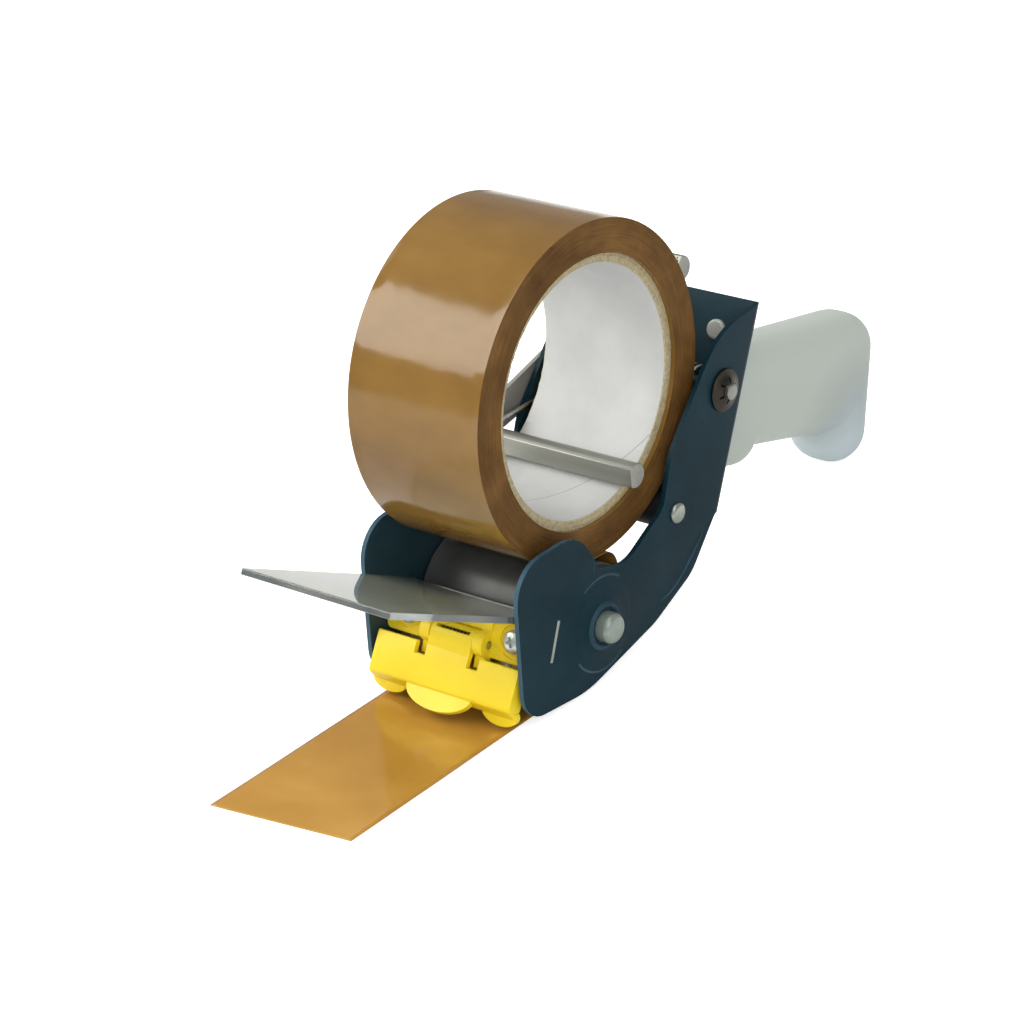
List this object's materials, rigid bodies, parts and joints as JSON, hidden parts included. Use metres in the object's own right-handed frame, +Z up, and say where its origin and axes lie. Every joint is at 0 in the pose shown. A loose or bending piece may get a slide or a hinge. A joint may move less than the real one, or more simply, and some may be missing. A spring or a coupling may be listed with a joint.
{
  "type": "handheld tape dispenser",
  "caption": "Handheld carton sealing tape dispenser with grip, folded steel frame, rubber roller, brake lever, toothed cutter with guard, clear flap and a roll of tape.",
  "frame": {"origin": "on the ground under the rubber roller's axle, mid-width, where the tape's outer face meets the carton", "axes": "+X along the rollers towards the bolt head's side, +Y back towards the grip, -Y front where the tape leaves, +Z up"},
  "size_m": [0.0722, 0.2931, 0.1398],
  "materials": {
    "blue_powder_coat": "satin, fine orange peel",
    "zinc_plate": "satin",
    "blade_steel": "polished",
    "yellow_plastic": "satin",
    "clear_plastic": "gloss",
    "grip_plastic": "matt",
    "black_plastic": "matt",
    "bush_nylon": "satin",
    "black_rubber": "satin",
    "brown_tape": "gloss",
    "core_board": "matt paper board",
    "dull_steel": "dull",
    "dark_steel": "dark oxide",
    "spring_steel": "bright"
  },
  "bodies": {
    "frame_body": {"frame": "blue_powder_coat", "cross_plate": "zinc_plate", "cutter_blade": "blade_steel", "guard_carrier": "yellow_plastic", "carrier_screws": "zinc_plate", "guard_pin": "zinc_plate", "clear_flap": "clear_plastic", "grip": "grip_plastic", "grip_tang": "zinc_plate", "web_rivets": "zinc_plate", "tie_rod": "zinc_plate", "tie_spacer": "black_plastic", "roller_bolt": "zinc_plate", "roller_nut": "zinc_plate", "tape_strip": "brown_tape", "tape_wrap": "brown_tape"},
    "guard_body": {"blade_guard": "yellow_plastic", "guard_spring": "spring_steel"},
    "roller_body": {"rubber_sleeve": "black_rubber", "roller_hub": "black_plastic", "roller_bushes": "bush_nylon"},
    "lever_body": {"lever_plate": "dark_steel", "brake_bar": "dull_steel", "thumb_bar": "dull_steel", "pivot_axle": "dull_steel", "push_nut": "dark_steel", "lever_spring": "spring_steel"},
    "roll_body": {"tape_winding": "brown_tape", "tape_core": "core_board"}
  },
  "joints": [
    {"name": "lever_pivot", "type": "hinge", "parent": "frame_body", "child": "lever_body", "pos_m": [0, 0.066, 0.0682], "axis": [1, 0, 0], "range_deg": [-35, 0], "stiffness_Nm_per_rad": 0.3, "springref_deg": 28.65},
    {"name": "roll_spin", "type": "hinge", "parent": "lever_body", "child": "roll_body", "pos_m": [0, 0.0095, 0.08836], "axis": [1, 0, 0], "continuous": true},
    {"name": "roller_spin", "type": "hinge", "parent": "frame_body", "child": "roller_body", "pos_m": [0, 0, 0.0186], "axis": [1, 0, 0], "continuous": true},
    {"name": "guard_hinge", "type": "hinge", "parent": "frame_body", "child": "guard_body", "pos_m": [0, -0.03076, 0.02138], "axis": [1, 0, 0], "range_deg": [-40, 0], "stiffness_Nm_per_rad": 0.02, "springref_deg": 22.92}
  ],
  "couplings": [
    {"joint": "roller_spin", "follows": "roll_spin", "ratio": -2.8611}
  ]
}
